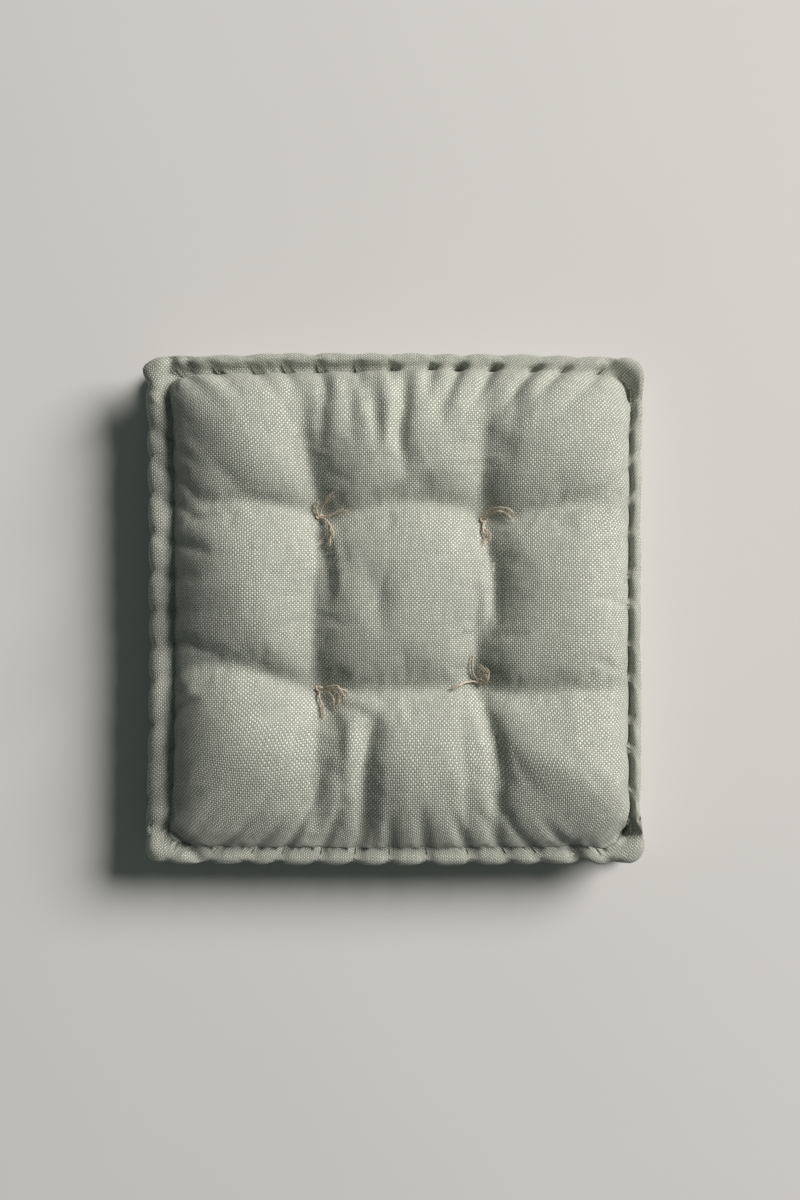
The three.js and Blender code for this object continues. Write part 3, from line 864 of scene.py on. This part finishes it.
def frayed_end(line, thickness, rng, fray):
    """A cut length of twine: three yarns twisted round the line, which loosen towards the cut end, and
    a brush of fine fibres there. fray is the share of the length that has come undone."""
    line = even(curve_through(line, 8), 30)
    q = np.linspace(0, 1, len(line))
    loose = smooth((q - (1 - fray)) / max(fray, 0.05))
    parts = []
    for yarn in range(3):
        turn = yarn * 2 * np.pi / 3 + q * 9 * (1 - 0.4 * loose)
        spread = thickness * (0.27 + 0.75 * loose * rng.uniform(0.5, 1.2))
        twist = np.stack([np.cos(turn), np.sin(turn), 0.6 * np.sin(turn + 1)], -1)
        radius = thickness * 0.3 * (1 - 0.45 * loose)
        parts.append(tube(line + twist * spread[:, None], radius, 6))
    heading = line[-1] - line[-6]
    heading /= np.linalg.norm(heading)
    steps = np.linspace(0, 1, 6)[:, None]
    for _ in range(int(6 + 16 * fray)):
        start = line[rng.integers(16, 27)] + rng.normal(0, 0.25, 3) * thickness
        way = heading + rng.normal(0, 0.45, 3)
        reach = rng.uniform(3, 7) * MM
        bow = rng.normal(0, 0.25, 3) * reach
        hair = start + way * reach * steps + bow * (steps * (1 - steps)) * 2
        parts.append(tube(hair, thickness * 0.07 * (1 - 0.6 * steps[:, 0]), 4))
    return parts


# The cut ends at each upper tuft: where each goes from its knot, in millimetres across and back and up
# from the cloth, and the share of it that is frayed.
Strand = namedtuple("Strand", "points fray")
KNOT_TOP = (0, 0, 2)  # where each starts
TUFT_STRANDS = {
    "back_left": [
        Strand([(2, 8, 4), (8, 16, 5), (12, 20, 5)], 0.5),
        Strand([(-3, 7, 4), (-1, 14, 5)], 0.6),
        Strand([(9, 1, 5), (17, 5, 5), (25, 3, 4)], 0.45),
        Strand([(6, -3, 4), (11, -10, 4), (12, -18, 3)], 0.25),
        Strand([(7, -4, 4), (10, -14, 4), (9, -25, 3)], 0.5),
    ],
    "back_right": [
        Strand([(3, 8, 5), (11, 11, 6), (21, 10, 5), (25, 6, 4)], 0.1),
        Strand([(4, 4, 5), (12, 8, 6), (19, 6, 5), (25, -1, 4)], 0.1),
        Strand([(0, -7, 4), (4, -11, 5), (5, -17, 4)], 0.7),
        Strand([(-1, -9, 4), (2, -16, 4), (-2, -22, 3)], 0.6),
    ],
    "front_left": [
        Strand([(0, -8, 4), (3, -15, 4), (4, -24, 3)], 0.7),
        Strand([(9, -3, 5), (13, -9, 4), (12, -17, 3)], 0.15),
        Strand([(12, -1, 5), (18, -6, 4), (17, -14, 3)], 0.15),
        Strand([(11, 1, 5), (19, 1, 5), (27, -3, 4)], 0.3),
        Strand([(9, 3, 5), (17, 3, 5), (23, -8, 4)], 0.2),
    ],
    "front_right": [
        Strand([(-9, 0, 4), (-18, -3, 4), (-25, -7, 3)], 0.35),
        Strand([(-5, 8, 4), (-6, 16, 4), (-5, 24, 3)], 0.1),
        Strand([(4, -3, 5), (8, 3, 6), (5, 10, 5), (1, 14, 5)], 0.75),
        Strand([(7, 1, 5), (9, 7, 5), (6, 12, 4)], 0.6),
    ],
}


def knot(centre, thickness, up):
    """A small hard knot: twine along a trefoil, the line (sin s + 2 sin 2s, cos s - 2 cos 2s, sin 3s)."""
    s = np.linspace(0, 2 * np.pi, 60)
    x, y = np.sin(s) + 2 * np.sin(2 * s), np.cos(s) - 2 * np.cos(2 * s)
    line = np.stack([x, y, -up * np.sin(3 * s)], -1)
    size = np.array([1, 1, 0.9]) * thickness * 0.62
    return tube(centre + line * size + [0, 0, up * thickness * 0.9], thickness * 0.5, 7)


# ---------------------------------------------------------------- materials


HUSK_BROWN = (0.22, 0.13, 0.06, 1.0)


class Socket:
    """An output socket, with the arithmetic that a material is written in."""

    def __init__(self, shader, socket):
        self.shader = shader
        self.socket = socket

    def __add__(self, other):
        return self.shader.math("ADD", self, other)

    def __mul__(self, other):
        return self.shader.math("MULTIPLY", self, other)

    def __sub__(self, other):
        return self.shader.math("SUBTRACT", self, other)

    def __rsub__(self, other):
        return self.shader.math("SUBTRACT", other, self)

    def __truediv__(self, other):
        return self.shader.math("DIVIDE", self, other)

    def __rtruediv__(self, other):
        return self.shader.math("DIVIDE", other, self)

    __radd__ = __add__
    __rmul__ = __mul__


class Shader:
    """A material and its nodes."""

    def __init__(self, name):
        self.material = bpy.data.materials.new(name)
        self.material.use_nodes = True
        self.tree = self.material.node_tree
        self.tree.nodes.clear()
        self.surface = self.node("ShaderNodeBsdfPrincipled")
        self.node("ShaderNodeOutputMaterial", values={"Surface": self.output(self.surface, "BSDF")})

    def node(self, kind, settings=None, values=None):
        """A node of a type, with its settings made first and then its sockets' values or links."""
        made = self.tree.nodes.new(kind)
        for name, value in (settings or {}).items():
            setattr(made, name, value)
        self.fill(made, values or {})
        return made

    def fill(self, node, values):
        """Gives a node's sockets their values or links."""
        for name, value in values.items():
            if isinstance(value, Socket):
                self.tree.links.new(value.socket, node.inputs[name])
            else:
                node.inputs[name].default_value = value

    def output(self, node, name):
        """One of a node's output sockets."""
        return Socket(self, node.outputs[name])

    def math(self, operation, *values):
        """What a Math node makes of its values."""
        made = self.node("ShaderNodeMath", {"operation": operation}, dict(enumerate(values)))
        return self.output(made, 0)

    def set(self, **values):
        """Sets or links the surface's sockets, named with _ for a space."""
        self.fill(self.surface, {name.replace("_", " "): value for name, value in values.items()})

    def noise(self, vector, scale, detail=2.0, roughness=0.5):
        """Noise from 0 to 1, about 0.5."""
        made = self.node(
            "ShaderNodeTexNoise",
            values={"Vector": vector, "Scale": scale, "Detail": detail, "Roughness": roughness},
        )
        return self.output(made, "Fac")

    def vector(self, x, y, z=0.0):
        """Three values as one vector or colour."""
        made = self.node("ShaderNodeCombineXYZ", values={"X": x, "Y": y, "Z": z})
        return self.output(made, "Vector")

    def mix(self, share, first, second, blend="MIX"):
        """Two colours mixed by a share."""
        values = {0: share, 6: first, 7: second}
        made = self.node("ShaderNodeMix", {"data_type": "RGBA", "blend_type": blend}, values)
        return self.output(made, 2)

    def shaded(self, colour, tone):
        """A colour times a tone."""
        return self.mix(1.0, colour, self.vector(tone, tone, tone), "MULTIPLY")

    def bump(self, height, distance):
        """A normal bumped by a height of 1 to a distance in metres."""
        made = self.node("ShaderNodeBump", values={"Height": height, "Distance": distance})
        return self.output(made, "Normal")

    def place(self):
        """The point's place on its object."""
        return self.output(self.node("ShaderNodeTexCoord"), "Object")


def opaque(colour):
    """A colour with its alpha, as sockets take it."""
    return (*colour, 1.0)


def linen(shape, colours):
    """Coarse plain weave with a pale warp and a darker weft. In each square of the weave one of the two
    threads lies on top, as a rounded ridge that dips at its ends; neighbouring squares swap. The colour
    is darker where a thread dips and between threads: painted shade, times the yarn's own slubs and
    patches."""
    shader = Shader("linen")
    uv = shader.output(shader.node("ShaderNodeUVMap", {"uv_map": "Cloth"}), "UV")
    split = shader.node("ShaderNodeSeparateXYZ", values={"Vector": uv})
    x, y = shader.output(split, "X"), shader.output(split, "Y")
    drift = shader.noise(uv, 120, 1) - 0.5
    drift_back = shader.noise(shader.vector(y + 3, x + 5), 120, 1) - 0.5
    a = x / shape.thread + drift * 1.1
    b = y / shape.thread + drift_back * 1.1
    warp, weft = shader.math("FLOOR", a), shader.math("FLOOR", b)
    across, along = a - warp - 0.5, b - weft - 0.5
    over = shader.math("PINGPONG", warp + weft, 1.0)
    ridge_a, ridge_b = 1 - across * across * 4, 1 - along * along * 4
    warp_top = shader.math("SQRT", ridge_a) * (ridge_b * 0.45 + 0.55)
    weft_top = shader.math("SQRT", ridge_b) * (ridge_a * 0.45 + 0.55)
    height = over * warp_top + (1 - over) * weft_top
    slub_warp = shader.noise(shader.vector(warp * 7.3, b * 0.12), 1.0, 2)
    slub_weft = shader.noise(shader.vector(a * 0.12, weft * 7.3, 4.0), 1.0, 2)
    slub = over * slub_warp + (1 - over) * slub_weft
    patch = shader.noise(shader.place(), 16, 3)
    threads = shader.mix(over, opaque(colours.weft), opaque(colours.warp))
    # height darkens the colour where threads dip and meet: painted shade in the weave's gaps; slub and
    # patch are the yarn's own tone
    shade = (height * 0.62 + 0.47) * (slub * 0.9 + 0.55) * (patch * 0.24 + 0.88)
    shader.set(
        Base_Color=shader.shaded(threads, shade),
        Roughness=0.9,
        Sheen_Weight=0.12,
        Sheen_Roughness=0.4,
        Normal=shader.bump(height * 0.45 + slub * 0.25 + patch * 0.4, 1.5 * MM),
    )
    return shader


def twisted_twine(name, shade, scale):
    """Soft spun yarn: pale and dark flecks along and across it, and a fuzzy surface."""
    shader = Shader(name)
    place = shader.place()
    fleck = shader.noise(place, scale, 3, 0.7)
    soil = shader.noise(place, scale / 9, 2)
    shader.set(
        Base_Color=shader.shaded(opaque(shade), (fleck * 0.9 + 0.5) * (soil * 0.5 + 0.75)),
        Roughness=0.85,
        Sheen_Weight=0.2,
        Normal=shader.bump(fleck, 0.25 * MM),
    )
    return shader


def cotton_wadding(colours):
    """Unbleached stuffing: tangled fibres with a few brown flecks of husk."""
    shader = Shader("cotton_wadding")
    place = shader.place()
    fibres = shader.noise(place, 900, 4, 0.75)
    clumps = shader.noise(place, 60, 3)
    husk = (shader.noise(place, 420, 1) - 0.7) * 12
    husk = shader.math("MINIMUM", shader.math("MAXIMUM", husk, 0.0), 0.7)
    pale = shader.shaded(opaque(colours.wadding), (fibres * 0.5 + 0.7) * (clumps * 0.3 + 0.85))
    shader.set(
        Base_Color=shader.mix(husk, pale, HUSK_BROWN),
        Roughness=1.0,
        Normal=shader.bump(fibres * 0.5 + clumps, 1.5 * MM),
    )
    return shader


def floor_paint(colours):
    """Matt pale floor with a faint mottle."""
    shader = Shader("floor_paint")
    place = shader.place()
    tone = shader.noise(place, 2.5, 3) * 0.05 + shader.noise(place, 500, 2) * 0.04 + 0.955
    shader.set(Base_Color=shader.shaded(opaque(colours.floor), tone), Roughness=0.9)
    return shader


# ---------------------------------------------------------------- operators

BLOCK_INSET = 2.6 * MM  # how far the block of wadding lies inside the cover
ROPE_SHARE = 0.66  # how large a rope of wadding is, over the roll round it
THREAD_RADIUS = 0.45 * MM  # of the stitching
THREAD_LIFT = 0.5 * MM  # how far its middle lies above the cloth's grid
THREAD_INSIDE = 2.5 * MM  # how far a stitch starts behind the groove

FLOOR_REACH = 6.0  # from the middle of the floor to its edge
WADDING_STEP = 2  # only every second row of the cover's grid shapes the wadding

made = {}  # the stuffed cover, which later operators use


def place_piece(piece, shader, material_slot, *nodes):
    """Finishes a piece and puts it on the frame in place of its nodes."""
    piece.data.materials.append(shader.material)
    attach(piece, "root")
    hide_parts(*nodes)


class CUSHION_OT_cover(bpy.types.Operator):
    """Stuff the linen cover and cut it into its two panels and four side bands"""

    bl_idname = "cushion.cover"
    bl_label = "Cover"

    def execute(self, context):
        shape = context.scene.cushion_shape
        cover = made["cover"] = Cover(shape)
        cloth = linen(shape, context.scene.cushion_colours)
        top = panel_piece(cover, "linen_top", upper=True)
        place_piece(top, cloth, "linen_cover", "top_panel")
        base = panel_piece(cover, "linen_base", upper=False)
        place_piece(base, cloth, "linen_cover", "bottom_panel")
        pieces = [top, base]
        for number, side in enumerate(SIDES):
            band = band_piece(cover, f"linen_side_{side}", number)
            place_piece(band, cloth, "linen_cover", f"side_band_{side}")
            pieces.append(band)
        for piece in pieces:
            add_thickness(piece, shape.cloth)
        return {"FINISHED"}


class CUSHION_OT_stuffing(bpy.types.Operator):
    """Fill the cover with its block of wadding and the edge rolls with their ropes"""

    bl_idname = "cushion.stuffing"
    bl_label = "Stuffing"

    def execute(self, context):
        cover = made["cover"]
        wadding = cotton_wadding(context.scene.cushion_colours)
        step = slice(None, None, WADDING_STEP)
        walls = cover.rings[UPPER_CREASE : LOWER_CREASE + 1, step]
        top, base = cover.top[step, step], cover.base[step, step]
        rows = np.vstack([[rim(top)], walls, [rim(base)]])
        points, faces = used(cover.points, cover_faces(top, rows, base))
        block = new_piece("wadding_block", points - normals_of(points, faces) * BLOCK_INSET, faces)
        place_piece(block, wadding, "wadding", "filling")
        for level, first in (("top", 1), ("bottom", LOWER_CREASE)):
            for number, side in enumerate(SIDES):
                stations = cover.side_stations(number)[1:-1:WADDING_STEP]
                section = cover.points[cover.rings[first : first + ROLL_STEPS, stations]]
                core = section.mean(0)
                section = (core + (section - core) * ROPE_SHARE).swapaxes(0, 1)
                piece = new_piece(f"wadding_rope_{level}_{side}", *section_body(section))
                place_piece(piece, wadding, "wadding", f"{level}_roll_wadding_{side}")
        return {"FINISHED"}


class CUSHION_OT_ties(bpy.types.Operator):
    """Pull the twine ties through the stuffing and knot them at both ends"""

    bl_idname = "cushion.ties"
    bl_label = "Ties and tufts"

    def execute(self, context):
        cover = made["cover"]
        shape = context.scene.cushion_shape
        yarn = twisted_twine("undyed_twine", context.scene.cushion_colours.twine, 1100)
        rng = np.random.default_rng(21)
        radius = shape.twine / 2
        q = np.linspace(0, 1, 40)
        for name, (x, y) in TIE_PLACES.items():
            seat = cover.height_at(x, y)
            depth = LOWER_SEAT + (seat - LOWER_SEAT) * q
            strands = []
            for turn in (q * 12, math.pi + q * 12):
                line = [x + radius * np.cos(turn), y + radius * np.sin(turn), depth]
                strands.append(tube(np.column_stack(line), radius, 7))
            tie = new_piece(f"twine_tie_{name}", *joined(strands))
            place_piece(tie, yarn, "tie_twine", f"tie_{name}")
            parts = [knot(np.array([x, y, seat]), shape.twine, 1)]
            for strand in TUFT_STRANDS[name]:
                way = np.array([KNOT_TOP, *strand.points], float) * MM
                way[:, :2] += (x, y)
                way[:, 2] += [cover.height_at(*point) for point in way[:, :2]]
                parts += frayed_end(way, shape.twine, rng, strand.fray)
            tuft = new_piece(f"twine_tuft_top_{name}", *joined(parts))
            place_piece(tuft, yarn, "tie_twine", f"top_tuft_{name}")
            parts = [knot(np.array([x, y, LOWER_SEAT]), shape.twine, -1)]
            for turn in rng.uniform(0, 2 * np.pi, 3):
                out = np.outer((0, 5, 9), (math.cos(turn), math.sin(turn), 0))
                down = np.outer((2, 5, 9), (0, 0, 1))
                parts += frayed_end((x, y, LOWER_SEAT) + (out - down) * MM, shape.twine, rng, 0.3)
            tuft = new_piece(f"twine_tuft_base_{name}", *joined(parts))
            place_piece(tuft, yarn, "tie_twine", f"bottom_tuft_{name}")
        return {"FINISHED"}


class CUSHION_OT_stitching(bpy.types.Operator):
    """Sew the edge rolls with waxed thread, one stitch to each dent"""

    bl_idname = "cushion.stitching"
    bl_label = "Roll stitching"

    def execute(self, context):
        cover = made["cover"]
        waxed = twisted_twine("waxed_thread", context.scene.cushion_colours.stitching, 1500)
        normals = normals_of(cover.points, cover.faces)
        for level, stitches, rings in (
            ("top", cover.upper, cover.rings[:3]),
            ("bottom", cover.lower, cover.rings[:-4:-1]),
        ):
            stations = np.round(stitches.place / stitches.per_side * cover.cells).astype(int)
            parts = []
            for station in stations % (4 * cover.cells):
                rows = rings[:, station]
                over = cover.points[rows]
                inside = over[0] - toward(over[0], over[2]) * THREAD_INSIDE
                lift = normals[rows[[0, 0, 1, 2]]] * THREAD_LIFT
                line = np.vstack([inside, over]) + lift
                line[[0, -1]] -= lift[[0, -1]] * 4  # both ends go under the cloth
                parts.append(tube(even(curve_through(line, 5), 10), THREAD_RADIUS, 6))
            piece = new_piece(f"stitches_{level}_roll", *joined(parts))
            place_piece(piece, waxed, "stitching_thread", f"{level}_roll_stitching")
        return {"FINISHED"}


class CUSHION_OT_stage(bpy.types.Operator):
    """Set the floor, the light, the sky and the camera"""

    bl_idname = "cushion.stage"
    bl_label = "Stage"

    def execute(self, context):
        scene = context.scene
        corners = np.array([[-1, -1, 0], [1, -1, 0], [1, 1, 0], [-1, 1, 0]]) * FLOOR_REACH
        floor = new_piece("floor", corners, [[0, 1, 2, 3]], smooth_faces=False)
        floor.data.materials.append(floor_paint(scene.cushion_colours).material)

        data = bpy.data.lights.new("window", "AREA")
        data.shape = "DISK"
        data.size = 4.9
        data.energy = 1235
        data.color = (1.0, 0.95, 0.925)
        lamp = bpy.data.objects.new("window", data)
        turn, climb, away = math.radians(31.5), math.radians(36.5), 9.0
        flat = away * math.cos(climb)
        lamp.location = (flat * math.cos(turn), flat * math.sin(turn), away * math.sin(climb))
        lamp.rotation_mode = "QUATERNION"
        lamp.rotation_quaternion = (-lamp.location).to_track_quat("-Z", "Y")
        scene.collection.objects.link(lamp)

        world = bpy.data.worlds.new("studio")
        world.use_nodes = True
        sky = world.node_tree.nodes["Background"]
        sky.inputs["Color"].default_value = (0.84, 1.0, 0.95, 1.0)
        sky.inputs["Strength"].default_value = 0.09
        scene.world = world
        scene.view_settings.view_transform = "Standard"

        camera = bpy.data.objects.new("camera", bpy.data.cameras.new("camera"))
        height = 2.0
        frame_height = 1.08  # metres of the cushion's upper edge that the long side takes in
        camera.data.lens = camera.data.sensor_width * (height - UPPER_ROLL) / frame_height
        camera.location = (0.006, 0.007, height)
        scene.collection.objects.link(camera)
        scene.camera = camera
        return {"FINISHED"}


OPERATORS = (
    CUSHION_OT_cover,
    CUSHION_OT_stuffing,
    CUSHION_OT_ties,
    CUSHION_OT_stitching,
    CUSHION_OT_stage,
)


class CUSHION_PT_panel(bpy.types.Panel):
    """Sizes, colours and the steps of the cushion"""

    bl_idname = "CUSHION_PT_panel"
    bl_label = "Tufted Floor Cushion"
    bl_space_type = "VIEW_3D"
    bl_region_type = "UI"
    bl_category = "Cushion"

    def draw(self, context):
        for settings in (context.scene.cushion_shape, context.scene.cushion_colours):
            for name in settings.__annotations__:
                self.layout.prop(settings, name)
        for operator in OPERATORS:
            self.layout.operator(operator.bl_idname)


CLASSES = (CushionShape, CushionColours, *OPERATORS, CUSHION_PT_panel)


def register():
    for item in CLASSES:
        bpy.utils.register_class(item)
    bpy.types.Scene.cushion_shape = PointerProperty(type=CushionShape)
    bpy.types.Scene.cushion_colours = PointerProperty(type=CushionColours)


def unregister():
    del bpy.types.Scene.cushion_colours
    del bpy.types.Scene.cushion_shape
    for item in reversed(CLASSES):
        bpy.utils.unregister_class(item)


def main():
    register()
    bpy.ops.cushion.cover()
    bpy.ops.cushion.stuffing()
    bpy.ops.cushion.ties()
    bpy.ops.cushion.stitching()
    bpy.ops.cushion.stage()


if __name__ == "__main__":
    main()
